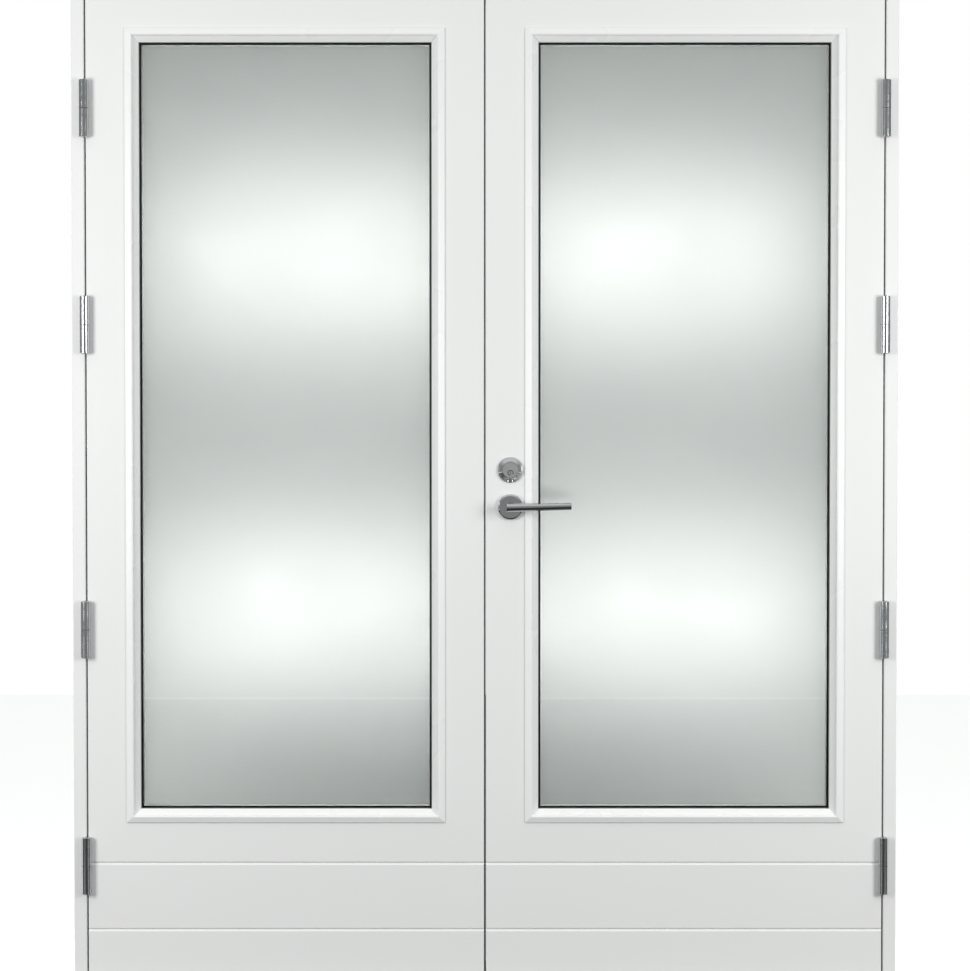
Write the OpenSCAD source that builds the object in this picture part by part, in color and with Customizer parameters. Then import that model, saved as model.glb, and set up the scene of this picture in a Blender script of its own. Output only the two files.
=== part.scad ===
// A pair of glazed entrance doors that open outwards, hung in their rebated frame.
// X runs across the doorway, Y from the outside to the room, and Z up.
// The origin is on the underside of the frame, at the middle of its width and depth.
// Seen from outside, the right leaf is the active one and the left leaf is held by bolts.

/* [Frame] */
// Overall width of the frame
frame_w = 1690; // [1390:10:2090]
// Overall height of the frame
frame_h = 2090; // [1890:10:2390]
// Depth of the frame, from the outside face to the room face
frame_d = 115; // [105:1:150]
// Thickness of the jambs and the head at the stop
jamb_t = 42; // [38:1:54]
// Width of the rebate that the leaves close into
rebate_w = 16; // [14:1:20]
// Small bevel along the visible edges of the wood
arris = 1.5; // [0.5:0.5:2.5]

/* [Threshold] */
// Height of the threshold at its outer edge
sill_h = 12; // [10:0.5:14]
// How much higher the deck is where it meets the stop
deck_rise = 3; // [1:0.5:4]
// Height of the threshold's stop
stop_h = 36; // [34:1:42]
// Thickness of the aluminium cap
cap_t = 2; // [1.5:0.5:3]
// How far the cap runs up the stop
cap_lip = 7; // [3:0.5:8]

/* [Leaves] */
// Thickness of a leaf
leaf_t = 62; // [58:1:70]
// Thickness of the leaf's face boards
skin_t = 6; // [4:1:8]
// Underside of the leaf above the floor
leaf_foot = 22; // [20:1:24]
// Edge of the leaf to the edge of the visible glass, at the sides
stile_w = 107; // [104:1:140]
// Edge of the leaf to the edge of the visible glass, at the top
top_rail_w = 112; // [90:1:160]
// Edge of the leaf to the edge of the visible glass, at the foot
base_panel_h = 354; // [300:1:700]
// Width of the rails hidden in the foot of the leaf
core_rail_w = 80; // [50:1:90]
// Width of the V grooves across the foot
groove_w = 7; // [4:0.5:10]
// Depth of the V grooves
groove_deep = 3; // [2:0.5:3.5]
// Height of the lower groove above the underside of the leaf
groove_low = 106; // [60:1:120]
// Distance between the two grooves
groove_pitch = 137; // [60:1:150]

/* [Gaps] */
// Gap between a leaf and the frame, at the hinges and the head
hinge_gap = 3.5; // [3:0.5:5]
// Gap between the two leaves
meeting_gap = 4; // [4:0.5:6]
// Gap between a closed leaf and the stop
seal_gap = 4; // [3:0.5:5]
// Room between a seal and what it closes against
seal_clear = 0.3; // [0.2:0.1:1]
// Room round a piece that is let into wood
let_in = 0.1; // [0.05:0.05:0.3]
// Joint line between two pieces that are butted or mitred
joint_line = 0.05; // [0.02:0.01:0.2]

/* [Glazing] */
// Thickness of one pane
pane_t = 4; // [3:1:6]
// Space between the panes
cavity = 16; // [12:1:20]
// Thickness of the glazing gaskets
gasket_t = 3; // [2:0.5:4]
// How far the cut-out in the leaf stands back from the visible glass
cut_back = 13; // [12:1:16]
// Room between the edge of the sealed unit and the cut-out
unit_play = 4; // [3:1:5]
// How far the spacer shows inside the bead
spacer_show = 5; // [2:1:8]
// Depth of the outer pane's gasket seat behind the outside face
glass_set_back = 10; // [8:1:14]
// Width of the bead, from the visible glass to its outer edge
bead_w = 27; // [25:1:34]
// How far the bead stands out of the leaf
bead_rise = 7; // [6:0.5:10]

/* [Hinges] */
// Diameter of the hinge barrel
barrel_d = 19.5; // [17:0.5:20]
// Height of one half of the barrel
barrel_h = 59.5; // [45:0.5:70]
// Diameter of the hinge pin
pin_d = 10; // [8:0.5:11]
// Running clearance round the pin
pin_play = 0.08; // [0.03:0.01:0.1]
// Clearance between the hinge barrels and the outside face
barrel_play = 0.65; // [0.4:0.05:2]
// Thickness of the hinge plates
plate_t = 3; // [2:0.5:3]
// Depth of the hinge plates behind the outside face
plate_deep = 35; // [32:1:40]
// Thickness of the washer between the halves
washer_t = 1; // [0.5:0.1:2]
// Foot of the leaf to the middle of its lowest hinge
foot_hinge_up = 240; // [180:1:300]
// Foot of the leaf to the middle of its second hinge
second_hinge_up = 725; // [560:1:760]
// Top of the leaf to the middle of its third hinge
third_hinge_down = 690; // [560:1:760]
// Top of the leaf to the middle of its highest hinge
top_hinge_down = 250; // [180:1:300]

/* [Frame fixings] */
// Radius of the hole through a fixing sleeve
fixing_r = 4.3; // [3:0.1:5]
// Outer radius of a fixing sleeve
sleeve_r = 7; // [6:0.5:8]
// Outside face to the line of fixings
fixing_set_in = 46; // [45:1:55]
// End of the jamb to its end fixing
fixing_end = 155; // [120:5:200]
// End of the jamb to its inner fixing
fixing_inner = 645; // [500:5:700]

/* [Lock] */
// Height of the lever's axis above the floor
lever_z = 998; // [950:1:1100]
// Height of the key cylinder above the lever
key_rise = 76; // [70:1:84]
// Edge of the leaf to the lever's axis
backset = 50; // [45:1:55]
// Travel of the latch
latch_throw = 12; // [8:1:14]
// Travel of the deadbolt
dead_throw = 20; // [14:1:22]
// Travel of the top and bottom bolts
bolt_throw = 16; // [10:1:17]
// Radius of the top and bottom bolts
bolt_r = 5; // [4:0.5:6]
// Length of the top and bottom bolts
bolt_len = 180; // [140:5:260]
// Side of the square spindle
spindle_w = 8; // [7:0.5:9]

/* [Lever furniture] */
// Diameter of the rosettes and the cylinder rings
rosette_d = 52.4; // [48:0.2:56]
// Height of a rosette
rosette_h = 9; // [7:0.5:12]
// Leaf face to the middle of the lever's bar
lever_out = 50; // [42:1:60]
// Lever's axis to the tip of the bar
lever_len = 123; // [100:1:140]
// Diameter of the bar at the neck
bar_root_d = 17; // [14:0.5:18]
// Diameter of the bar at the tip
bar_tip_d = 14.5; // [12:0.5:17]
// Slope of the bar up towards its tip, in degrees
lever_rise = 1.3; // [0:0.1:4]
// Radius of the key cylinder
barrel_r = 15.8; // [14:0.1:17]
// Radius of the plug that the key turns
plug_r = 6; // [5:0.1:6.5]
// Drop of the plug below the middle of the cylinder
plug_drop = 6; // [4:0.5:7]
// Height of the cylinder rings
ring_h = 12; // [8:0.5:15]

/* [Hidden] */
$fn = 64;

paint = [0.93, 0.94, 0.94];
oak = [0.62, 0.47, 0.31];
pine = [0.80, 0.66, 0.46];
chrome = [0.78, 0.79, 0.80];
steel = [0.62, 0.63, 0.64];
rubber = [0.12, 0.12, 0.12];
pale_seal = [0.80, 0.80, 0.80];
glass = [0.80, 0.86, 0.83, 0.5];

// Planes that everything is set out from
face_y = -frame_d / 2;
room_y = frame_d / 2;
back_y = face_y + leaf_t;
mid_y = face_y + leaf_t / 2;
stop_y = back_y + seal_gap;
jamb_face = jamb_t - rebate_w;
deck_z = sill_h + deck_rise;
past = 1;
far = 400;

// One leaf: u runs from the meeting edge to the hinge edge
leaf_w = (frame_w - meeting_gap) / 2 - jamb_face - hinge_gap;
leaf_top = frame_h - jamb_face - hinge_gap;
sight_w = leaf_w - 2 * stile_w;
sight_low = leaf_foot + base_panel_h;
sight_top = leaf_top - top_rail_w;
sight_h = sight_top - sight_low;
core_stile_w = stile_w - cut_back;
unit_over = cut_back - unit_play;
outer_pane_y = face_y + glass_set_back + gasket_t;
inner_pane_y = outer_pane_y + pane_t + cavity;
inner_leg = back_y - (inner_pane_y + pane_t + gasket_t);

// Seals
kerf_deep = 5;
kerf_w = 3;
seal_bulge_r = 5;
frame_seal_in = jamb_t - 6;
threshold_seal_z = stop_h - 7;
meeting_seal_rise = meeting_gap - 0.8;
meeting_seal_in = 10;

// Hinges
axis_u = leaf_w + hinge_gap / 2;
axis_y = face_y - barrel_d / 2 - barrel_play;
barrel_end = 2.5;
plate_margin = 2.5;
pin_half = 48;
hinge_zs = [
    leaf_foot + foot_hinge_up, leaf_foot + second_hinge_up,
    leaf_top - third_hinge_down, leaf_top - top_hinge_down
];
wall_u = leaf_w + hinge_gap;

// Countersunk screws
shank_r = 2;
head_r = 4;
head_h = 2.2;
hinge_screw_len = 22;
edge_screw_len = 25;
edge_screw_end = 12;
guide_screw_end = 10;
corner_screw_len = 95;

// Lock and bolts
key_z = lever_z + key_rise;
edge_plate_t = 3;
edge_plate_w = 22;
case_t = 16;
case_wall = 1.5;
case_back = backset + 28;
case_low = lever_z - 60;
case_top = key_z + 45;
forend_low = case_low - 25;
forend_top = case_top + 25;
latch_half = [5.5, 12];
dead_half = [6, 14];
bolt_in = 0.5;
latch_len = 33;
dead_len = 35;
slide_fit = 0.1;
follower_r = 13;
boss_r = 9;
neck_r = 8;
neck_play = 0.3;
socket_deep = 20;
turn_r = 8;
keep_wall = 3;
keep_play = 0.6;
keep_room = 2;
pocket_room = 1;
bolt_u = 12;
knob_r = 3.5;
knob_back = 150;
guide_margin = 30;

// The two ends of a span about its middle
function about(middle, half) = [middle - half, middle + half];

module block(xs, ys, zs) {
    translate([xs[0], ys[0], zs[0]])
        cube([xs[1] - xs[0], ys[1] - ys[0], zs[1] - zs[0]]);
}

// A round bar along X, along Y or up Z, between two stated ends
module bar_x(xs, y, z, r) {
    translate([xs[0], y, z]) rotate([0, 90, 0]) cylinder(h = xs[1] - xs[0], r = r);
}

module bar_y(x, ys, z, r) {
    translate([x, ys[0], z]) rotate([-90, 0, 0]) cylinder(h = ys[1] - ys[0], r = r);
}

module bar_z(x, y, zs, r) {
    translate([x, y, zs[0]]) cylinder(h = zs[1] - zs[0], r = r);
}

// A section drawn as (depth, height) and run along X about its middle
module run_x(length) {
    rotate([90, 0, 90]) linear_extrude(length, center = true) children();
}

// Four mitred lengths round an opening, each held back by cut at its mitres.
// The child's X is depth and its Y runs outwards.
module mitred_frame(w, h, cut = joint_line, reach = 60) {
    for (turn = [0:3]) {
        length = turn % 2 == 0 ? w : h;
        rise = (turn % 2 == 0 ? h : w) / 2;
        rotate([0, 90 * turn, 0]) translate([0, 0, rise]) intersection() {
            run_x(length + 2 * reach) children();
            rotate([90, 0, 0]) linear_extrude(far, center = true) polygon([
                [cut - length / 2 + reach, -reach], [length / 2 - reach - cut, -reach],
                [length / 2 + reach - cut, reach], [cut - length / 2 - reach, reach]
            ]);
        }
    }
}

// Countersunk screw with its head at the origin, driven along X. grow makes the hole for it.
module screw(length, grow = 0) {
    rotate([0, 90, 0]) {
        translate([0, 0, -grow]) cylinder(h = head_h + grow, r1 = head_r + grow, r2 = shank_r + grow);
        cylinder(h = length + grow, r = shank_r + grow);
    }
}

// Puts a leaf's u axis in place: side is -1 for the left leaf and 1 for the right one
module place(side) {
    mirror([side < 0 ? 1 : 0, 0, 0]) translate([meeting_gap / 2, 0, 0]) children();
}

module at_glass(y) {
    translate([leaf_w / 2, y, (sight_low + sight_top) / 2]) children();
}

// Bulb seal: a stem for the kerf and a rounded bulb that stands out by rise
module seal_section(rise) {
    sink = seal_bulge_r - rise;
    translate([0, -kerf_w / 2]) square([kerf_deep, kerf_w]);
    intersection() {
        translate([sink, 0]) circle(seal_bulge_r);
        translate([-rise - past, -seal_bulge_r]) square([rise + past, 2 * seal_bulge_r]);
    }
}

module kerf_section() {
    translate([-past, -kerf_w / 2 - let_in])
        square([kerf_deep + past + let_in, kerf_w + 2 * let_in]);
}

// The ring that the frame's seal follows, in the face of the stop
module seal_ring(cut = joint_line) {
    low = threshold_seal_z;
    top = frame_h - frame_seal_in;
    translate([0, stop_y, (low + top) / 2])
        mitred_frame(frame_w - 2 * frame_seal_in, top - low, cut) children();
}

module frame_seal() {
    color(pale_seal) seal_ring() seal_section(seal_gap - seal_clear);
}

// Frame

function fixing_heights() = [fixing_end, fixing_inner, frame_h - fixing_inner, frame_h - fixing_end];

function head_screws() = [[face_y + 22, frame_h - jamb_face / 2], [stop_y + 25, frame_h - jamb_t / 2]];

function threshold_screws() = [[stop_y + 14, stop_h / 2], [stop_y + 38, stop_h / 2]];

// Section of a jamb: X is the distance from its outer side and Y the depth
module jamb_section() {
    polygon([
        [0, face_y + arris], [arris, face_y], [jamb_face - arris, face_y],
        [jamb_face, face_y + arris], [jamb_face, stop_y], [jamb_t - arris, stop_y],
        [jamb_t, stop_y + arris], [jamb_t, room_y - arris], [jamb_t - arris, room_y], [0, room_y]
    ]);
}

module jamb(side) {
    color(paint) difference() {
        mirror([side > 0 ? 1 : 0, 0, 0]) translate([-frame_w / 2, 0, 0])
            linear_extrude(frame_h) jamb_section();
        seal_ring(0) kerf_section();
        place(side) {
            for (z = hinge_zs) {
                hinge_mortise(z - barrel_h - washer_t / 2, wall_u - past, wall_u + plate_t);
                frame_hinge_screw_set(z, let_in);
            }
            for (z = fixing_heights())
                bar_x([wall_u - past, wall_u + jamb_t], face_y + fixing_set_in, z, sleeve_r + let_in / 2);
            for (at = concat(head_screws(), threshold_screws())) corner_screw(at, let_in);
        }
    }
}

module corner_screw(at, grow = 0) {
    translate([wall_u + jamb_face, at[0], at[1]]) mirror([1, 0, 0]) screw(corner_screw_len, grow);
}

module corner_screws() {
    color(steel) for (side = [-1, 1]) place(side)
        for (at = concat(head_screws(), threshold_screws())) corner_screw(at);
}

// Keeps what lies between the jambs: the outer part is wider, as it butts into the rebates
module between_jambs() {
    inner_w = frame_w - 2 * jamb_t;
    outer_w = frame_w - 2 * jamb_face;
    intersection() {
        children();
        union() {
            block([-outer_w / 2, outer_w / 2], [face_y - past, stop_y], [-past, frame_h + past]);
            block([-inner_w / 2, inner_w / 2], [stop_y - past, room_y + past], [-past, frame_h + past]);
        }
    }
}

module head_section() {
    polygon([
        [face_y, frame_h - jamb_face + arris], [face_y + arris, frame_h - jamb_face],
        [stop_y, frame_h - jamb_face], [stop_y, frame_h - jamb_t + arris],
        [stop_y + arris, frame_h - jamb_t], [room_y - arris, frame_h - jamb_t],
        [room_y, frame_h - jamb_t + arris], [room_y, frame_h], [face_y + arris, frame_h],
        [face_y, frame_h - arris]
    ]);
}

module head_jamb() {
    color(paint) difference() {
        between_jambs() run_x(frame_w) head_section();
        seal_ring(0) kerf_section();
        for (side = [-1, 1]) place(side) for (at = head_screws()) corner_screw(at, let_in);
        place(-1) keep_block([frame_h - jamb_face - past, head_keep_top() + let_in],
                             keep_half() + let_in / 2);
    }
}

// Height of the deck on the line of the bottom bolt
function deck_at(y) = sill_h + deck_rise * (y - face_y) / (stop_y - face_y);

module threshold_base() {
    color(oak) difference() {
        between_jambs() run_x(frame_w) polygon([
            [face_y + cap_t, 0], [room_y, 0], [room_y, stop_h - arris], [room_y - arris, stop_h],
            [stop_y + arris, stop_h], [stop_y, stop_h - arris], [stop_y, deck_z + cap_lip],
            [stop_y + cap_t, deck_z + cap_lip], [stop_y + cap_t, deck_z - cap_t],
            [face_y + cap_t, sill_h - cap_t]
        ]);
        seal_ring(0) kerf_section();
        for (side = [-1, 1]) place(side) for (at = threshold_screws()) corner_screw(at, let_in);
        place(-1) keep_block([keep_low() - let_in, stop_h], keep_half() + let_in / 2);
    }
}

module threshold_cap() {
    color(steel) difference() {
        between_jambs() run_x(frame_w) polygon([
            [face_y, cap_t], [face_y, sill_h], [stop_y, deck_z], [stop_y, deck_z + cap_lip],
            [stop_y + cap_t, deck_z + cap_lip], [stop_y + cap_t, deck_z - cap_t],
            [face_y + cap_t, sill_h - cap_t], [face_y + cap_t, cap_t]
        ]);
        place(-1) keep_block([0, stop_h], keep_half() + let_in / 2);
    }
}

module fixing_sleeves() {
    color(steel) for (side = [-1, 1]) place(side) for (z = fixing_heights()) difference() {
        bar_x([wall_u, wall_u + jamb_face], face_y + fixing_set_in, z, sleeve_r);
        bar_x([wall_u - past, wall_u + jamb_face + past], face_y + fixing_set_in, z, fixing_r);
    }
}

// The sockets that take the top and bottom bolts of the left leaf: square steel tube, measured
// here from its middle

function keep_bore() = bolt_r + keep_play;

function keep_half() = keep_bore() + keep_wall;

function head_keep_top() = frame_h - jamb_face + bolt_throw + keep_room;

function keep_low() = leaf_foot + bolt_in - bolt_throw - keep_room;

module keep_block(zs, half) {
    block(about(bolt_u, half), about(mid_y, half), zs);
}

module keep_socket(zs) {
    color(steel) place(-1) difference() {
        keep_block(zs, keep_half());
        keep_block([zs[0] - past, zs[1] + past], keep_bore());
    }
}

module head_keep() {
    keep_socket([frame_h - jamb_face, head_keep_top()]);
}

module threshold_keep() {
    keep_socket([keep_low(), deck_at(mid_y + keep_half())]);
}

// Hinges

module hinge_mortise(z, u0, u1) {
    low = z + plate_margin - let_in;
    high = z + barrel_h - plate_margin + let_in;
    block([u0, u1], [face_y - past, face_y + plate_deep + let_in], [low, high]);
}

// Positions of three screws in a plate, as (depth behind the face, height from its middle)
function plate_screws() = [[11, -17], [11, 17], [26, 0]];

function half_middle(z, up) = z + up * (barrel_h + washer_t) / 2;

module frame_hinge_screw_set(z, grow = 0) {
    for (at = plate_screws())
        translate([wall_u, face_y + at[0], half_middle(z, -1) + at[1]]) screw(hinge_screw_len, grow);
}

module leaf_hinge_screw_set(z, grow = 0) {
    for (at = plate_screws())
        translate([leaf_w, face_y + at[0], half_middle(z, 1) + at[1]])
            mirror([1, 0, 0]) screw(hinge_screw_len, grow);
}

// Half of a hinge barrel standing on z = 0, with its outer end domed. The ball is shorter than
// the barrel, so it cuts only the length beyond the plain one.
module hinge_barrel() {
    r = barrel_d / 2;
    ball_r = (r * r + barrel_end * barrel_end) / (2 * barrel_end);
    plain_h = barrel_h - 2 * barrel_end;
    cylinder(h = plain_h, r = r);
    intersection() {
        translate([0, 0, plain_h]) cylinder(h = 2 * barrel_end, r = r);
        translate([0, 0, barrel_h - ball_r]) sphere(ball_r, $fn = 96);
    }
}

module leaf_hinge_halves() {
    color(chrome) for (z = hinge_zs) difference() {
        union() {
            translate([axis_u, axis_y, z + washer_t / 2]) hinge_barrel();
            block([leaf_w - plate_t, leaf_w], [axis_y, face_y + plate_deep],
                  [z + washer_t / 2 + plate_margin, z + washer_t / 2 + barrel_h - plate_margin]);
        }
        bar_z(axis_u, axis_y, [z, z + pin_half + pin_play], pin_d / 2 + pin_play);
        leaf_hinge_screw_set(z, let_in);
    }
}

module frame_hinge_halves() {
    color(chrome) for (side = [-1, 1]) place(side) for (z = hinge_zs) difference() {
        union() {
            translate([axis_u, axis_y, z - washer_t / 2]) mirror([0, 0, 1]) hinge_barrel();
            block([wall_u, wall_u + plate_t], [axis_y, face_y + plate_deep],
                  [z - washer_t / 2 - barrel_h + plate_margin, z - washer_t / 2 - plate_margin]);
        }
        bar_z(axis_u, axis_y, [z - pin_half, z], pin_d / 2 + pin_play);
        frame_hinge_screw_set(z, let_in);
    }
}

module hinge_pins() {
    color(steel) for (side = [-1, 1]) place(side)
        for (z = hinge_zs) bar_z(axis_u, axis_y, [z - pin_half, z + pin_half - past], pin_d / 2);
}

module hinge_washers() {
    color(rubber) for (side = [-1, 1]) place(side) for (z = hinge_zs) difference() {
        bar_z(axis_u, axis_y, [z - washer_t / 2, z + washer_t / 2 - let_in], barrel_d / 2 - 0.5);
        bar_z(axis_u, axis_y, [z - washer_t, z + washer_t], pin_d / 2 + pin_play);
    }
}

module frame_hinge_screws() {
    color(steel) for (side = [-1, 1]) place(side) for (z = hinge_zs) frame_hinge_screw_set(z);
}

module leaf_hinge_screws() {
    color(steel) for (z = hinge_zs) leaf_hinge_screw_set(z);
}

// Leaves

module glass_cut(ys) {
    block([core_stile_w, leaf_w - core_stile_w], ys, [sight_low - cut_back, sight_top + cut_back]);
}

// Everything that is cut into either leaf's edges and faces
module leaf_cuts(side) {
    for (z = hinge_zs) {
        hinge_mortise(z + washer_t / 2, leaf_w - plate_t, leaf_w + past);
        leaf_hinge_screw_set(z, let_in);
    }
    if (side > 0) lock_cuts();
    if (side < 0) left_edge_cuts();
}

// A face board, with its outer face at y = 0 and its back at y = skin_t
module skin() {
    difference() {
        linear_extrude(leaf_top - leaf_foot) polygon([
            [arris, 0], [leaf_w - arris, 0], [leaf_w, arris], [leaf_w, skin_t], [0, skin_t], [0, arris]
        ]);
        for (z = [groove_low, groove_low + groove_pitch])
            translate([leaf_w / 2, 0, z]) run_x(leaf_w + 2 * past)
                polygon([
                    [0, -groove_w / 2], [groove_deep, 0], [0, groove_w / 2],
                    [-past, groove_w / 2], [-past, -groove_w / 2]
                ]);
    }
}

module outer_skin(side) {
    color(paint) difference() {
        translate([0, face_y, leaf_foot]) skin();
        glass_cut([face_y - past, back_y + past]);
        leaf_cuts(side);
    }
}

module inner_skin(side) {
    color(paint) difference() {
        translate([0, back_y, leaf_foot]) mirror([0, 1, 0]) skin();
        glass_cut([face_y - past, back_y + past]);
        leaf_cuts(side);
    }
}

// Two stiles and three rails, glued up between the face boards
module core_frame(side) {
    ys = [face_y + skin_t, back_y - skin_t];
    rail_us = [core_stile_w + joint_line, leaf_w - core_stile_w - joint_line];
    glass_foot = sight_low - cut_back;
    color(pine) {
        difference() {
            block([0, core_stile_w], ys, [leaf_foot, leaf_top]);
            leaf_cuts(side);
        }
        difference() {
            block([leaf_w - core_stile_w, leaf_w], ys, [leaf_foot, leaf_top]);
            leaf_cuts(side);
        }
        block(rail_us, ys, [sight_top + cut_back, leaf_top]);
        block(rail_us, ys, [glass_foot - core_rail_w, glass_foot]);
        block(rail_us, ys, [leaf_foot, leaf_foot + core_rail_w]);
    }
}

module panel_core() {
    color("khaki") block(
        [core_stile_w + joint_line, leaf_w - core_stile_w - joint_line],
        [face_y + skin_t, back_y - skin_t],
        [leaf_foot + core_rail_w, sight_low - cut_back - core_rail_w]
    );
}

// Glazing

// Section of a bead: X is the depth behind the face, Y the distance out from the visible glass
module bead_section(leg) {
    ridge_r = 4;
    step = 11;
    ridge_mid = step + ridge_r;
    base = bead_rise - ridge_r;
    polygon([
        [leg, 0], [leg - 2, 0], [-1.5, step], [-base, step], [-base, ridge_mid],
        [-base - ridge_r * cos(30), ridge_mid + ridge_r * sin(30)], [-base - 0.5, bead_w - 1],
        [-base + 0.5, bead_w], [0, bead_w], [0, cut_back - let_in], [leg, cut_back - let_in]
    ]);
    intersection() {
        translate([-base, ridge_mid]) circle(ridge_r);
        translate([-bead_rise - past, step]) square([ridge_r + past + 0.1, 2 * ridge_r]);
    }
}

module outer_bead() {
    color(paint) at_glass(face_y) mitred_frame(sight_w, sight_h) bead_section(glass_set_back);
}

module inner_bead() {
    color(paint) at_glass(back_y) mirror([0, 1, 0]) mitred_frame(sight_w, sight_h) bead_section(inner_leg);
}

module pane(y) {
    color(glass) at_glass(y) block(
        [-sight_w / 2 - unit_over, sight_w / 2 + unit_over], [0, pane_t],
        [-sight_h / 2 - unit_over, sight_h / 2 + unit_over]
    );
}

module spacer() {
    color(steel) at_glass(outer_pane_y + pane_t) rotate([-90, 0, 0]) linear_extrude(cavity) difference() {
        square([sight_w + 2 * unit_over, sight_h + 2 * unit_over], center = true);
        square([sight_w - 2 * spacer_show, sight_h - 2 * spacer_show], center = true);
    }
}

module gaskets() {
    color(rubber) for (y = [face_y + glass_set_back, inner_pane_y + pane_t])
        at_glass(y) mitred_frame(sight_w, sight_h)
            translate([0, -1]) square([gasket_t, unit_over + 1]);
}

// Left leaf's meeting edge

module strike_plate() {
    color(steel) place(-1) difference() {
        block([0, edge_plate_t], about(mid_y, edge_plate_w / 2), [forend_low, forend_top]);
        keep_pockets();
        strike_screw_set(let_in);
    }
}

// Pockets that the latch and the deadbolt shoot into
module keep_pockets() {
    block([-past, latch_throw + pocket_room], about(mid_y, latch_half[0] + pocket_room),
          about(lever_z, latch_half[1] + pocket_room));
    block([-past, dead_throw + pocket_room], about(mid_y, dead_half[0] + pocket_room),
          about(key_z, dead_half[1] + pocket_room));
}

module strike_screw_set(grow = 0) {
    for (z = [forend_low + edge_screw_end, forend_top - edge_screw_end])
        translate([0, mid_y, z]) screw(edge_screw_len, grow);
}

// up is 1 for the top bolt and -1 for the bottom one
function bolt_tip(up) = up > 0 ? leaf_top - bolt_in : leaf_foot + bolt_in;

function knob_z(up) = bolt_tip(up) - up * knob_back;

function sorted(a, b) = [min(a, b), max(a, b)];

function guide_span(up) =
    sorted(knob_z(up) - up * guide_margin, knob_z(up) + up * (bolt_throw + guide_margin));

module bolt_guide_slot(up, us) {
    zs = sorted(knob_z(up), knob_z(up) + up * bolt_throw);
    r = knob_r + slide_fit;
    block(us, about(mid_y, r), zs);
    for (z = zs) bar_x(us, mid_y, z, r);
}

module guide_screw_set(up, grow = 0) {
    span = guide_span(up);
    for (z = [span[0] + guide_screw_end, span[1] - guide_screw_end])
        translate([0, mid_y, z]) screw(bolt_u - bolt_r - 2, grow);
}

module bolt_guides() {
    color(steel) place(-1) for (up = [-1, 1]) difference() {
        block([0, edge_plate_t], about(mid_y, edge_plate_w / 2), guide_span(up));
        bolt_guide_slot(up, [-past, edge_plate_t + past]);
        guide_screw_set(up, let_in);
    }
}

module edge_bolt(up) {
    color(steel) place(-1) {
        bar_z(bolt_u, mid_y, sorted(bolt_tip(up), bolt_tip(up) - up * bolt_len), bolt_r);
        bar_x([bolt_in, bolt_u], mid_y, knob_z(up), knob_r);
    }
}

module left_edge_screws() {
    color(steel) place(-1) {
        strike_screw_set();
        for (up = [-1, 1]) guide_screw_set(up);
    }
}

module meeting_seal() {
    color(pale_seal) place(-1) translate([0, face_y + meeting_seal_in, leaf_foot])
        linear_extrude(leaf_top - leaf_foot) seal_section(meeting_seal_rise);
}

module left_edge_cuts() {
    plate_ys = about(mid_y, edge_plate_w / 2 + let_in);
    block([-past, edge_plate_t], plate_ys, [forend_low - let_in, forend_top + let_in]);
    keep_pockets();
    strike_screw_set(let_in);
    translate([0, face_y + meeting_seal_in, leaf_foot - past])
        linear_extrude(leaf_top - leaf_foot + 2 * past) kerf_section();
    for (up = [-1, 1]) {
        span = guide_span(up);
        block([-past, edge_plate_t], plate_ys, [span[0] - let_in, span[1] + let_in]);
        bolt_guide_slot(up, [0, bolt_u]);
        guide_screw_set(up, let_in);
        bar_z(bolt_u, mid_y,
              sorted(bolt_tip(up) + up * 2 * bolt_in, bolt_tip(up) - up * (bolt_len + bolt_in)),
              bolt_r + slide_fit);
    }
}

// Right leaf's lock

module lock_cuts() {
    block([-past, edge_plate_t], about(mid_y, edge_plate_w / 2 + let_in),
          [forend_low - let_in, forend_top + let_in]);
    block([-past, case_back + let_in], about(mid_y, case_t / 2 + let_in),
          [case_low - let_in, case_top + let_in]);
    bar_y(backset, [face_y - past, back_y + past], lever_z, boss_r);
    bar_y(backset, [face_y - past, mid_y], key_z, barrel_r + let_in);
    bar_y(backset, [mid_y, back_y + past], key_z, turn_r + slide_fit);
    lock_screw_set(let_in);
}

module lock_screw_set(grow = 0) {
    for (z = [forend_low + edge_screw_end, forend_top - edge_screw_end])
        translate([0, mid_y, z]) screw(edge_screw_len, grow);
}

module lock_screws() {
    color(steel) place(1) lock_screw_set();
}

module lock_case() {
    color(steel) place(1) difference() {
        union() {
            block([0, edge_plate_t], about(mid_y, edge_plate_w / 2), [forend_low, forend_top]);
            block([0, case_back], about(mid_y, case_t / 2), [case_low, case_top]);
        }
        block([edge_plate_t, case_back - case_wall], about(mid_y, case_t / 2 - case_wall),
              [case_low + case_wall, case_top - case_wall]);
        block([-past, edge_plate_t + past], about(mid_y, latch_half[0] + slide_fit),
              about(lever_z, latch_half[1] + slide_fit));
        block([-past, edge_plate_t + past], about(mid_y, dead_half[0] + slide_fit),
              about(key_z, dead_half[1] + slide_fit));
        bar_y(backset, about(mid_y, case_t), lever_z, boss_r + slide_fit);
        bar_y(backset, [mid_y - case_t, mid_y], key_z - plug_drop, plug_r + slide_fit);
        bar_y(backset, [mid_y, mid_y + case_t], key_z, turn_r + slide_fit);
        lock_screw_set(let_in);
    }
}

// The hub that the spindle turns, running in the sides of the lock case
module follower() {
    half = case_t / 2 - case_wall - slide_fit;
    color(steel) place(1) difference() {
        union() {
            bar_y(backset, about(mid_y, half), lever_z, follower_r);
            bar_y(backset, about(mid_y, case_t / 2), lever_z, boss_r);
        }
        spindle_bar(let_in);
    }
}

module spindle_bar(grow = 0) {
    half = spindle_w / 2 + grow;
    reach = socket_deep + (grow > 0 ? past : 0);
    block(about(backset, half), [face_y - reach, back_y + reach], about(lever_z, half));
}

module spindle() {
    color(steel) place(1) spindle_bar();
}

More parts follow.
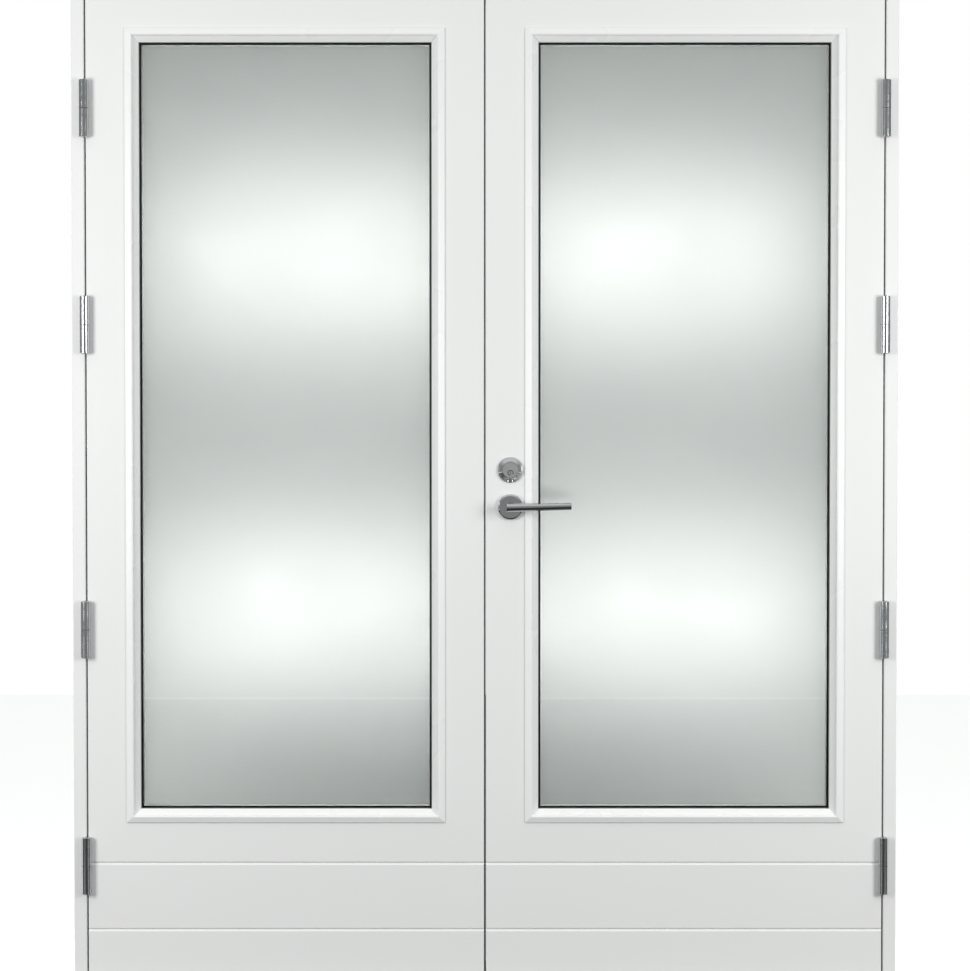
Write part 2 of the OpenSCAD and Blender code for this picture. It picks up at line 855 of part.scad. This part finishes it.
module latch_bolt() {
    bevel = 8;
    half = latch_half[0];
    color(steel) place(1) translate([bolt_in, mid_y, lever_z - latch_half[1]])
        linear_extrude(2 * latch_half[1])
            polygon([[0, -half], [0, -half + 3], [bevel, half], [latch_len, half], [latch_len, -half]]);
}

module deadbolt() {
    color(steel) place(1) block([bolt_in, bolt_in + dead_len], about(mid_y, dead_half[0]),
                                about(key_z, dead_half[1]));
}

// Lever furniture. Pieces on the outside stand on y = 0 and rise towards -Y.

module outside(z) {
    place(1) translate([backset, face_y, z]) children();
}

module inside(z) {
    place(1) translate([backset, back_y, z]) mirror([0, 1, 0]) children();
}

module turned(outline) {
    rotate([90, 0, 0]) rotate_extrude() polygon(outline);
}

function disc_outline(bore, r, h) =
    [[bore, 0], [r, 0], [r, h - 3.5], [r - 1, h - 1.4], [r - 3.5, h], [bore, h]];

module rosette() {
    color(chrome) turned(disc_outline(neck_r + neck_play, rosette_d / 2, rosette_h));
}

module lever() {
    socket = spindle_w / 2 + let_in;
    color(chrome) difference() {
        union() {
            rotate([90, 0, 0]) translate([0, 0, past]) cylinder(h = lever_out - past, r = neck_r);
            rotate([0, -lever_rise, 0]) translate([-neck_r, -lever_out, 0]) rotate([0, 90, 0])
                cylinder(h = lever_len + neck_r, d1 = bar_root_d, d2 = bar_tip_d);
        }
        block([-socket, socket], [-socket_deep - let_in, 0], [-socket, socket]);
    }
}

module cylinder_ring() {
    r = rosette_d / 2;
    bore = barrel_r + let_in;
    color(chrome) outside(key_z)
        turned([[bore, 0], [r, 0], [r, 3], [barrel_r + 1.2, ring_h], [bore, ring_h]]);
}

module cylinder_barrel() {
    color(chrome) outside(key_z) difference() {
        bar_y(0, [-ring_h - 1, leaf_t / 2 - case_t / 2 - slide_fit], 0, barrel_r);
        bar_y(0, [-ring_h - 2, leaf_t], -plug_drop, plug_r + pin_play);
    }
}

module cylinder_plug() {
    slot = 0.8;
    color(steel) outside(key_z - plug_drop) difference() {
        bar_y(0, [-ring_h - 1.5, leaf_t / 2 - 4], 0, plug_r);
        block([-slot, slot], [-ring_h - 2, 8], [-plug_r + 2, plug_r - 2]);
    }
}

module inner_ring() {
    color(chrome) inside(key_z) turned(disc_outline(turn_r + neck_play, rosette_d / 2, rosette_h));
}

module thumbturn() {
    grip = [6, 20, 30];
    color(chrome) inside(key_z) {
        bar_y(0, [-rosette_h - 3, leaf_t / 2 - 4], 0, turn_r);
        block([-grip[0] / 2, grip[0] / 2], [-rosette_h - 3 - grip[1], -rosette_h - 2],
              [-grip[2] / 2, grip[2] / 2]);
    }
}

jamb(-1);  // left_jamb
jamb(1);  // right_jamb
head_jamb();
threshold_base();
threshold_cap();
frame_seal();
frame_hinge_halves();
hinge_pins();
hinge_washers();
frame_hinge_screws();
fixing_sleeves();
corner_screws();
head_keep();
threshold_keep();
place(-1) outer_skin(-1);  // left_outer_skin
place(-1) inner_skin(-1);  // left_inner_skin
place(-1) core_frame(-1);  // left_core_frame
place(-1) panel_core();  // left_panel_core
place(-1) outer_bead();  // left_outer_bead
place(-1) inner_bead();  // left_inner_bead
place(-1) pane(outer_pane_y);  // left_outer_pane
place(-1) spacer();  // left_spacer
place(-1) pane(inner_pane_y);  // left_inner_pane
place(-1) gaskets();  // left_gaskets
place(-1) leaf_hinge_halves();  // left_hinge_halves
place(-1) leaf_hinge_screws();  // left_hinge_screws
place(1) outer_skin(1);  // right_outer_skin
place(1) inner_skin(1);  // right_inner_skin
place(1) core_frame(1);  // right_core_frame
place(1) panel_core();  // right_panel_core
place(1) outer_bead();  // right_outer_bead
place(1) inner_bead();  // right_inner_bead
place(1) pane(outer_pane_y);  // right_outer_pane
place(1) spacer();  // right_spacer
place(1) pane(inner_pane_y);  // right_inner_pane
place(1) gaskets();  // right_gaskets
place(1) leaf_hinge_halves();  // right_hinge_halves
place(1) leaf_hinge_screws();  // right_hinge_screws
strike_plate();
meeting_seal();
bolt_guides();
left_edge_screws();
edge_bolt(1);  // top_bolt
edge_bolt(-1);  // bottom_bolt
lock_case();
lock_screws();
follower();
spindle();
outside(lever_z) rosette();  // outer_rosette
inside(lever_z) rosette();  // inner_rosette
outside(lever_z) lever();  // outer_lever
inside(lever_z) lever();  // inner_lever
cylinder_ring();
cylinder_barrel();
cylinder_plug();
inner_ring();
thumbturn();
latch_bolt();
deadbolt();
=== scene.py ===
import math
import bmesh
import bpy
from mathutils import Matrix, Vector


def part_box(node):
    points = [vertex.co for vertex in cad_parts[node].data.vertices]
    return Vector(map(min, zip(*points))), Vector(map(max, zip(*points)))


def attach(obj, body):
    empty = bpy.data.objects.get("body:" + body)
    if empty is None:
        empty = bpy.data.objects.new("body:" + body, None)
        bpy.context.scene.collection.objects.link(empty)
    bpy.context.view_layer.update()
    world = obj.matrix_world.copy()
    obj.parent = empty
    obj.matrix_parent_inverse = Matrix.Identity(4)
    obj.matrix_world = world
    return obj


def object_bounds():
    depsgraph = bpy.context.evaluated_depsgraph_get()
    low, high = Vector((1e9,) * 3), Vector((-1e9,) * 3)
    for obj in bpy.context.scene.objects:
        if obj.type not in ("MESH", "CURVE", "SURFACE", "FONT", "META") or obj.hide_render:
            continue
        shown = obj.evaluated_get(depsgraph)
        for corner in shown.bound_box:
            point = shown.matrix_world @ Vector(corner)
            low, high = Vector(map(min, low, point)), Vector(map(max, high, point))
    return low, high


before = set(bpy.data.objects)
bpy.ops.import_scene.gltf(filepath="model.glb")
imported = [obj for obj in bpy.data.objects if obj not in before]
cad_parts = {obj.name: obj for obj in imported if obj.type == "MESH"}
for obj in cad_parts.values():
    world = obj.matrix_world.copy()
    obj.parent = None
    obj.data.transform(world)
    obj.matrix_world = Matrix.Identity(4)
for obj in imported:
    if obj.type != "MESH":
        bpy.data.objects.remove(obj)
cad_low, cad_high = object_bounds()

# Camera
# It stands a little above mid height, far enough back for the jambs to look upright.
# Its picture is as tall as the doors from the foot board up to the underside of the head.
view_height = 1.989
aim_height = 1.042
camera_distance = 4.3
aim = Vector((0, cad_low.y / 2, aim_height))
pitch = math.radians(1.2)
camera_data = bpy.data.cameras.new("camera")
camera_data.sensor_width = 36
camera_data.lens = camera_data.sensor_width * camera_distance / view_height
camera = bpy.data.objects.new("camera", camera_data)
bpy.context.scene.collection.objects.link(camera)
camera.location = aim + camera_distance * Vector((0, -math.cos(pitch), math.sin(pitch)))
camera.rotation_euler = (math.pi / 2 - pitch, 0, 0)
bpy.context.scene.camera = camera

# Studio floor
# A plain pale floor, level with the underside of the frame. Black cards lie on it in front
# of the doors, for bright metal to mirror, and behind them, to keep its glow out of the glass.
floor_half = 5.0
card_lift = 0.004
card_places = (("front_card", 3.2, -4.9, -0.08), ("rear_card", 0.76, 0.1, floor_half))


def plain_material(name, grey):
    made = bpy.data.materials.new(name)
    made.use_nodes = True
    shader = made.node_tree.nodes["Principled BSDF"]
    shader.inputs["Base Color"].default_value = (grey, grey, grey, 1)
    return made, shader


def flat_sheet(name, half_width, near_y, far_y, level, material):
    mesh = bpy.data.meshes.new(name)
    corners = [(-half_width, near_y, level), (half_width, near_y, level),
               (half_width, far_y, level), (-half_width, far_y, level)]
    mesh.from_pydata(corners, [], [(0, 1, 2, 3)])
    mesh.materials.append(material)
    sheet = bpy.data.objects.new(name, mesh)
    bpy.context.scene.collection.objects.link(sheet)
    return sheet


floor_finish, floor_shader = plain_material("pale_floor", 0.93)
floor_shader.inputs["Roughness"].default_value = 0.8
floor_shader.inputs["Emission Color"].default_value = (1, 1, 1, 1)
floor_shader.inputs["Emission Strength"].default_value = 0.3
floor = flat_sheet("studio_floor", floor_half, -floor_half, floor_half, 0, floor_finish)

card_finish = plain_material("black_card", 0.01)[0]
for name, half_width, near_y, far_y in card_places:
    card = flat_sheet(name, half_width, near_y, far_y, card_lift, card_finish)
    card.visible_camera = False

# Studio light
# A broad soft light at each side, level with the middle of the doors, and two soft boxes
# behind each pane that show through the frosted glass as pale blooms.
view_settings = bpy.context.scene.view_settings
view_settings.view_transform = "Standard"


def soft_box(name, place, target, size, watts):
    data = bpy.data.lights.new(name, "AREA")
    data.shape = "RECTANGLE"
    data.size, data.size_y = size
    data.energy = watts
    lamp = bpy.data.objects.new(name, data)
    bpy.context.scene.collection.objects.link(lamp)
    lamp.location = place
    lamp.rotation_euler = (Vector(target) - Vector(place)).to_track_quat("-Z", "Y").to_euler()
    return lamp


side_out, side_forward, side_height = 2.3, -2.3, 1.38
side_aim_out, side_aim_height = 0.2, 1.2
side_size, side_watts = (0.9, 1.2), 50
for side in (-1, 1):
    soft_box("side_light", (side * side_out, side_forward, side_height),
             (side * side_aim_out, 0, side_aim_height), side_size, side_watts)

glazing = {side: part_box(side + "_outer_pane") for side in ("left", "right")}
bloom_heights, bloom_spread, bloom_behind = (0.736, 1.572), 1.04, 0.7
bloom_size, bloom_watts = (0.74, 0.3), 1.5
for side, (low, high) in glazing.items():
    for height in bloom_heights:
        outward = bloom_spread * (low.x + high.x) / 2
        soft_box("bloom_light", (outward, bloom_behind, height), (outward, 0, height), bloom_size,
                 bloom_watts)

# The surround glows brighter overhead than at eye level, and the camera sees plain white.
world = bpy.data.worlds.new("studio")
bpy.context.scene.world = world
world.use_nodes = True
sky = world.node_tree
sky.nodes.clear()
ray_kind = sky.nodes.new("ShaderNodeLightPath")
backdrop = sky.nodes.new("ShaderNodeBackground")
backdrop.inputs["Color"].default_value = (1, 1, 1, 1)
backdrop.inputs["Strength"].default_value = 1.0
surround = sky.nodes.new("ShaderNodeBackground")
surround.inputs["Color"].default_value = (0.975, 1.0, 0.985, 1)
direction = sky.nodes.new("ShaderNodeTexCoord")
split = sky.nodes.new("ShaderNodeSeparateXYZ")
glow = sky.nodes.new("ShaderNodeMapRange")
glow.interpolation_type = "SMOOTHSTEP"
horizon_glow, ceiling_glow = 0.36, 0.94
rise_start, rise_end = 0.35, 0.9
glow.inputs["From Min"].default_value = rise_start
glow.inputs["From Max"].default_value = rise_end
glow.inputs["To Min"].default_value = horizon_glow
glow.inputs["To Max"].default_value = ceiling_glow
sky.links.new(direction.outputs["Generated"], split.inputs[0])
sky.links.new(split.outputs["Z"], glow.inputs["Value"])
sky.links.new(glow.outputs["Result"], surround.inputs["Strength"])
chooser = sky.nodes.new("ShaderNodeMixShader")
sky_out = sky.nodes.new("ShaderNodeOutputWorld")
sky.links.new(ray_kind.outputs["Is Camera Ray"], chooser.inputs["Fac"])
sky.links.new(surround.outputs[0], chooser.inputs[1])
sky.links.new(backdrop.outputs[0], chooser.inputs[2])
sky.links.new(chooser.outputs[0], sky_out.inputs["Surface"])

# Painted joinery
# Frame, face boards and glazing beads are pine with a sprayed satin white enamel.
# The enamel has the faint ripple of spray, and its gloss drifts a little from place to place.


def new_group(name, inputs, outputs):
    group = bpy.data.node_groups.new(name, "ShaderNodeTree")
    for socket, kind, value in inputs:
        made = group.interface.new_socket(socket, in_out="INPUT", socket_type=kind)
        made.default_value = value
    for socket, kind in outputs:
        group.interface.new_socket(socket, in_out="OUTPUT", socket_type=kind)
    return group, group.nodes.new("NodeGroupInput"), group.nodes.new("NodeGroupOutput")


def add_node(tree, kind, **settings):
    made = tree.nodes.new(kind)
    for key, value in settings.items():
        setattr(made, key, value)
    return made


def object_noise(group, scale_socket, detail, vector=None):
    place = add_node(group, "ShaderNodeTexCoord")
    noise = add_node(group, "ShaderNodeTexNoise")
    noise.inputs["Detail"].default_value = detail
    group.links.new(vector or place.outputs["Object"], noise.inputs["Vector"])
    group.links.new(scale_socket, noise.inputs["Scale"])
    return noise


# Drift gives a mask that wanders between two values, and Ripple a height for a Bump node.
drift_group, drift_in, drift_out = new_group(
    "surface_drift",
    [("Scale", "NodeSocketFloat", 8.0), ("Low", "NodeSocketFloat", 0.3), ("High", "NodeSocketFloat", 0.4)],
    [("Value", "NodeSocketFloat")])
drift_noise = object_noise(drift_group, drift_in.outputs["Scale"], 3)
drift_map = add_node(drift_group, "ShaderNodeMapRange")
drift_map.inputs["From Min"].default_value = 0.3
drift_map.inputs["From Max"].default_value = 0.7
drift_group.links.new(drift_noise.outputs["Fac"], drift_map.inputs["Value"])
drift_group.links.new(drift_in.outputs["Low"], drift_map.inputs["To Min"])
drift_group.links.new(drift_in.outputs["High"], drift_map.inputs["To Max"])
drift_group.links.new(drift_map.outputs["Result"], drift_out.inputs["Value"])

ripple_group, ripple_in, ripple_out = new_group(
    "surface_ripple", [("Scale", "NodeSocketFloat", 300.0), ("Stretch", "NodeSocketVector", (1, 1, 1))],
    [("Height", "NodeSocketFloat")])
ripple_place = add_node(ripple_group, "ShaderNodeTexCoord")
ripple_stretch = add_node(ripple_group, "ShaderNodeVectorMath", operation="MULTIPLY")
ripple_group.links.new(ripple_place.outputs["Object"], ripple_stretch.inputs[0])
ripple_group.links.new(ripple_in.outputs["Stretch"], ripple_stretch.inputs[1])
ripple_noise = object_noise(ripple_group, ripple_in.outputs["Scale"], 2, ripple_stretch.outputs["Vector"])
ripple_group.links.new(ripple_noise.outputs["Fac"], ripple_out.inputs["Height"])


def finish(name, colour, roughness, drift=8.0, ripple=300.0, stretch=(1, 1, 1), depth=0.00003, strength=0.3,
           metallic=0.0, tint=None, **plain):
    """A material whose gloss drifts between two roughness values over a fine ripple.
    plain gives the shader's own uniform sockets, with an underscore for each space."""
    made = bpy.data.materials.new(name)
    made.use_nodes = True
    tree = made.node_tree
    shader = tree.nodes["Principled BSDF"]
    shader.inputs["Base Color"].default_value = (*colour, 1)
    shader.inputs["Metallic"].default_value = metallic
    for key, value in plain.items():
        shader.inputs[key.replace("_", " ")].default_value = value
    wander = add_node(tree, "ShaderNodeGroup", node_tree=drift_group)
    wander.inputs["Scale"].default_value = drift
    wander.inputs["Low"].default_value, wander.inputs["High"].default_value = roughness
    tree.links.new(wander.outputs["Value"], shader.inputs["Roughness"])
    waves = add_node(tree, "ShaderNodeGroup", node_tree=ripple_group)
    waves.inputs["Scale"].default_value = ripple
    waves.inputs["Stretch"].default_value = stretch
    bump = add_node(tree, "ShaderNodeBump")
    bump.inputs["Distance"].default_value = depth
    bump.inputs["Strength"].default_value = strength
    tree.links.new(waves.outputs["Height"], bump.inputs["Height"])
    tree.links.new(bump.outputs["Normal"], shader.inputs["Normal"])
    if tint:
        shade = add_node(tree, "ShaderNodeMix", data_type="RGBA")
        shade.inputs["A"].default_value = (*colour, 1)
        shade.inputs["B"].default_value = (*tint, 1)
        patches = add_node(tree, "ShaderNodeGroup", node_tree=drift_group)
        patches.inputs["Scale"].default_value = drift / 2
        patches.inputs["Low"].default_value, patches.inputs["High"].default_value = 0.0, 1.0
        tree.links.new(patches.outputs["Value"], shade.inputs["Factor"])
        tree.links.new(shade.outputs["Result"], shader.inputs["Base Color"])
    return made


def dress(material, *nodes):
    for node in nodes:
        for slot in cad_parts[node].material_slots:
            slot.material = material


enamel = finish("white_enamel", (0.83, 0.835, 0.828), (0.3, 0.38), drift=3.0, ripple=420.0, depth=0.00004,
                strength=0.25, tint=(0.815, 0.82, 0.812))
# The beads take a lighter copy of the same enamel: painted light that brightens them beside the face boards.
bead_enamel_painted_light = finish("bead_enamel_painted_light", (0.86, 0.866, 0.86), (0.24, 0.32), drift=5.0, ripple=380.0, depth=0.00003,
                     strength=0.2, tint=(0.85, 0.855, 0.85))
dress(enamel, "left_jamb", "right_jamb", "head_jamb")
for side in ("left_", "right_"):
    dress(enamel, side + "outer_skin", side + "inner_skin", side + "core_frame")
    dress(bead_enamel_painted_light, side + "outer_bead", side + "inner_bead")

# Insulating board
# A pale foamed board in the foot of each leaf. It is sealed in, so only a cut would show it.
board = finish("foamed_board", (0.74, 0.68, 0.47), (0.85, 0.95), drift=30.0, ripple=900.0, depth=0.0003,
               strength=0.6, tint=(0.7, 0.63, 0.42))
dress(board, "left_panel_core", "right_panel_core")

# Glass
# The outer pane is clear float glass. The inner one is acid etched on its outer face,
# which makes it milky and slightly green.
clear = finish("clear_glass", (0.968, 0.98, 0.974), (0.0, 0.015), drift=2.0, ripple=6.0, depth=0.0002,
               strength=0.05, Transmission_Weight=1.0, IOR=1.45)
etched = finish("etched_glass", (0.895, 0.908, 0.898), (0.68, 0.78), drift=6.0, ripple=1400.0, depth=0.00002,
                strength=0.3, tint=(0.875, 0.893, 0.882), Transmission_Weight=0.85, IOR=1.45)
dress(clear, "left_outer_pane", "right_outer_pane")
dress(etched, "left_inner_pane", "right_inner_pane")

# Spacer bar
# A folded aluminium channel between the panes. The face turned to the air space is pricked
# with a row of fine breather holes, drawn here as short plugs of painted shade that stand just proud.
bar_metal = finish("spacer_metal", (0.66, 0.68, 0.66), (0.32, 0.45), drift=40.0, ripple=260.0, depth=0.00005,
                   strength=0.3, metallic=0.85)
dress(bar_metal, "left_spacer", "right_spacer")


def new_piece(name, mesh_maker, material, body):
    shape = bmesh.new()
    mesh_maker(shape)
    data = bpy.data.meshes.new(name)
    shape.to_mesh(data)
    shape.free()
    data.materials.append(material)
    piece = bpy.data.objects.new(name, data)
    bpy.context.scene.collection.objects.link(piece)
    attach(piece, body)
    return piece


def add_prism(shape, outline, middle, axis, depth):
    """A closed prism whose outline, as (across, up), stands on middle and runs depth along axis."""
    across, up = {"X": (Vector((0, 1, 0)), Vector((0, 0, 1))), "Y": (Vector((1, 0, 0)), Vector((0, 0, 1))),
                  "Z": (Vector((1, 0, 0)), Vector((0, 1, 0)))}[axis]
    along = Vector([float(letter == axis) for letter in "XYZ"]) * depth
    near = [shape.verts.new(Vector(middle) + across * u + up * v) for u, v in outline]
    far = [shape.verts.new(corner.co + along) for corner in near]
    faces = [shape.faces.new(near), shape.faces.new(far)]
    for i in range(len(near)):
        j = (i + 1) % len(near)
        faces.append(shape.faces.new((near[i], near[j], far[j], far[i])))
    bmesh.ops.recalc_face_normals(shape, faces=faces)


def ring_points(radius, count):
    return [(radius * math.cos(2 * math.pi * i / count), radius * math.sin(2 * math.pi * i / count))
            for i in range(count)]


# Near-black painted shade, standing for the shade inside the breather holes and in the recess round the key
# plug.
painted_shade_black = finish("recess_painted_shade", (0.02, 0.02, 0.02), (0.8, 0.9), ripple=900.0)
hole_r, hole_sides, hole_pitch, hole_proud, corner_room = 0.0006, 6, 0.02, 0.00006, 0.02


def breather_row(shape, low, high, bar_w):
    """Plugs of painted shade for the holes along the two upright sides and the two level ones, on the faces
    turned inwards.
    """
    middle_y = (low.y + high.y) / 2
    upright = ((low.x + bar_w, 1), (high.x - bar_w, -1))
    level = ((low.z + bar_w, 1), (high.z - bar_w, -1))
    for axis, begin, end, faces in (("X", low.z, high.z, upright), ("Z", low.x, high.x, level)):
        count = int((end - begin - 2 * corner_room) / hole_pitch)
        start = begin + corner_room
        for place, out in faces:
            for i in range(count + 1):
                run = start + i * hole_pitch
                at = (place, middle_y, run) if axis == "X" else (run, middle_y, place)
                add_prism(shape, ring_points(hole_r, hole_sides), at, axis, out * hole_proud)


spacer_bar_w = 0.006
for side in ("left", "right"):
    low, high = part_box(side + "_spacer")
    new_piece(side + "_breather_hole_shade", lambda shape: breather_row(shape, low, high, spacer_bar_w), painted_shade_black,
              side + "_leaf")

# Rubber seals
# Grey gaskets bed the panes, and darker seals close the gaps round and between the leaves.
grey_rubber = finish("grey_rubber", (0.4, 0.406, 0.4), (0.6, 0.75), drift=60.0, ripple=700.0, depth=0.0001,
                     strength=0.5, tint=(0.34, 0.345, 0.34))
dark_rubber = finish("dark_rubber", (0.07, 0.07, 0.07), (0.55, 0.7), drift=60.0, ripple=500.0, depth=0.0001,
                     strength=0.4, tint=(0.055, 0.055, 0.055))
dress(grey_rubber, "left_gaskets", "right_gaskets")
dress(dark_rubber, "frame_seal", "meeting_seal", "hinge_washers")

# Hinges
# Lift-off hinges of chromed steel, two halves to a hinge, that turn on a steel pin.
chrome = finish("hinge_chrome", (0.46, 0.47, 0.48), (0.1, 0.2), drift=70.0, ripple=160.0,
                stretch=(1, 1, 0.06), depth=0.00003, strength=0.25, metallic=1.0)
zinc = finish("zinc_plate", (0.58, 0.59, 0.6), (0.28, 0.42), drift=120.0, ripple=600.0, depth=0.00004,
              strength=0.4, metallic=1.0, tint=(0.52, 0.54, 0.57))
dress(chrome, "frame_hinge_halves", "left_hinge_halves", "right_hinge_halves")
dress(zinc, "hinge_pins", "frame_hinge_screws", "left_hinge_screws", "right_hinge_screws",
      "corner_screws", "fixing_sleeves", "head_keep", "threshold_keep", "left_edge_screws", "lock_screws",
      "follower", "spindle")

# Screw drive shade
# Each countersunk screw has a six-lobed drive. The recess is drawn as a star of painted shade standing just
# proud on the head, and the heads are found as the separate solids of each screw node.


def solids_of(node):
    """The lowest and highest corner of each separate solid in a node, in the order of its vertices."""
    weld_reach = 1e-6
    shape = bmesh.new()
    shape.from_mesh(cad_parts[node].data)
    bmesh.ops.remove_doubles(shape, verts=shape.verts, dist=weld_reach)
    waiting, found = set(shape.verts), []
    for first in shape.verts:
        if first not in waiting:
            continue
        waiting.remove(first)
        to_visit, corners = [first], []
        while to_visit:
            vertex = to_visit.pop()
            corners.append(vertex.co.copy())
            for edge in vertex.link_edges:
                other = edge.other_vert(vertex)
                if other in waiting:
                    waiting.remove(other)
                    to_visit.append(other)
        found.append((Vector([min(c[i] for c in corners) for i in range(3)]),
                      Vector([max(c[i] for c in corners) for i in range(3)])))
    shape.free()
    return found


star_r, star_wave, star_lobes, star_steps, star_proud = 0.0017, 0.0004, 6, 36, 0.00008


def star_outline():
    outline = []
    for i in range(star_steps):
        turn = 2 * math.pi * i / star_steps
        reach = star_r + star_wave * math.cos(star_lobes * turn)
        outline.append((reach * math.cos(turn), reach * math.sin(turn)))
    return outline


def add_stars(shape, node, head_side):
    for low, high in solids_of(node):
        middle = (low + high) / 2
        out = head_side(middle)
        face_x = high.x if out > 0 else low.x
        add_prism(shape, star_outline(), (face_x, middle.y, middle.z), "X", out * star_proud)


# Near-black painted shade for the six-lobed recesses.
drive_painted_shade = finish("screw_drive_painted_shade", (0.04, 0.04, 0.042), (0.5, 0.65), ripple=900.0, metallic=0.8)
for node, body, head_side in (
        ("left_hinge_screws", "left_leaf", lambda m: -1), ("right_hinge_screws", "right_leaf", lambda m: 1),
        ("frame_hinge_screws", "frame", lambda m: 1 if m.x < 0 else -1),
        ("left_edge_screws", "left_leaf", lambda m: 1), ("lock_screws", "right_leaf", lambda m: -1)):
    new_piece(node + "_drive_shade", lambda shape: add_stars(shape, node, head_side), drive_painted_shade, body)

# Lock and bolts
# The forend, strike, guides and bolts are brushed stainless steel, grained along their length.
brushed = finish("brushed_steel", (0.56, 0.565, 0.57), (0.25, 0.36), drift=50.0, ripple=900.0,
                 stretch=(1, 1, 0.02), depth=0.00005, strength=0.5, metallic=1.0)
dress(brushed, "lock_case", "strike_plate", "bolt_guides", "top_bolt", "bottom_bolt", "latch_bolt",
      "deadbolt")

# Lever furniture
# Levers, roses and rings are brass with bright chrome. The cylinder and its plug are satin.
bright = finish("bright_chrome", (0.5, 0.51, 0.52), (0.06, 0.13), drift=90.0, ripple=120.0, depth=0.00001,
                strength=0.2, metallic=1.0)
satin = finish("satin_chrome", (0.68, 0.69, 0.69), (0.26, 0.34), drift=80.0, ripple=500.0, depth=0.00003,
               strength=0.3, metallic=1.0)
dress(bright, "outer_rosette", "inner_rosette", "outer_lever", "inner_lever", "cylinder_ring", "inner_ring",
      "thumbturn")
dress(satin, "cylinder_barrel", "cylinder_plug")

# Plug recess shade
# A crescent of painted shade, for the shadow in the recess round the plug's edge, runs most of the way round
# the face of the key plug, outside its keyway.
# It stands a hair proud of the metal and turns with the plug.
groove_in, groove_out, groove_sweep, groove_steps = 0.0045, 0.0059, math.radians(290), 40
groove_start, groove_proud = math.radians(-30), 0.0001


def add_groove(shape, middle):
    turns = [groove_start + groove_sweep * i / groove_steps for i in range(groove_steps + 1)]
    outline = [(groove_out * math.cos(t), groove_out * math.sin(t)) for t in turns]
    outline += [(groove_in * math.cos(t), groove_in * math.sin(t)) for t in reversed(turns)]
    add_prism(shape, outline, middle, "Y", -groove_proud)


plug_low, plug_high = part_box("cylinder_plug")
plug_face = Vector(((plug_low.x + plug_high.x) / 2, plug_low.y, (plug_low.z + plug_high.z) / 2))
new_piece("plug_recess_shade", lambda shape: add_groove(shape, plug_face), painted_shade_black, "key_plug")

# Threshold
# An oiled oak sill with a mill-finished aluminium cap let into its stop.
oak = finish("oiled_oak", (0.27, 0.165, 0.085), (0.42, 0.6), drift=14.0, ripple=90.0, stretch=(0.05, 1, 1),
             depth=0.0004, strength=0.5, tint=(0.2, 0.115, 0.055))
mill = finish("mill_aluminium", (0.62, 0.63, 0.64), (0.3, 0.42), drift=30.0, ripple=800.0,
              stretch=(0.02, 1, 1), depth=0.00005, strength=0.5, metallic=1.0)
dress(oak, "threshold_base")
dress(mill, "threshold_cap")
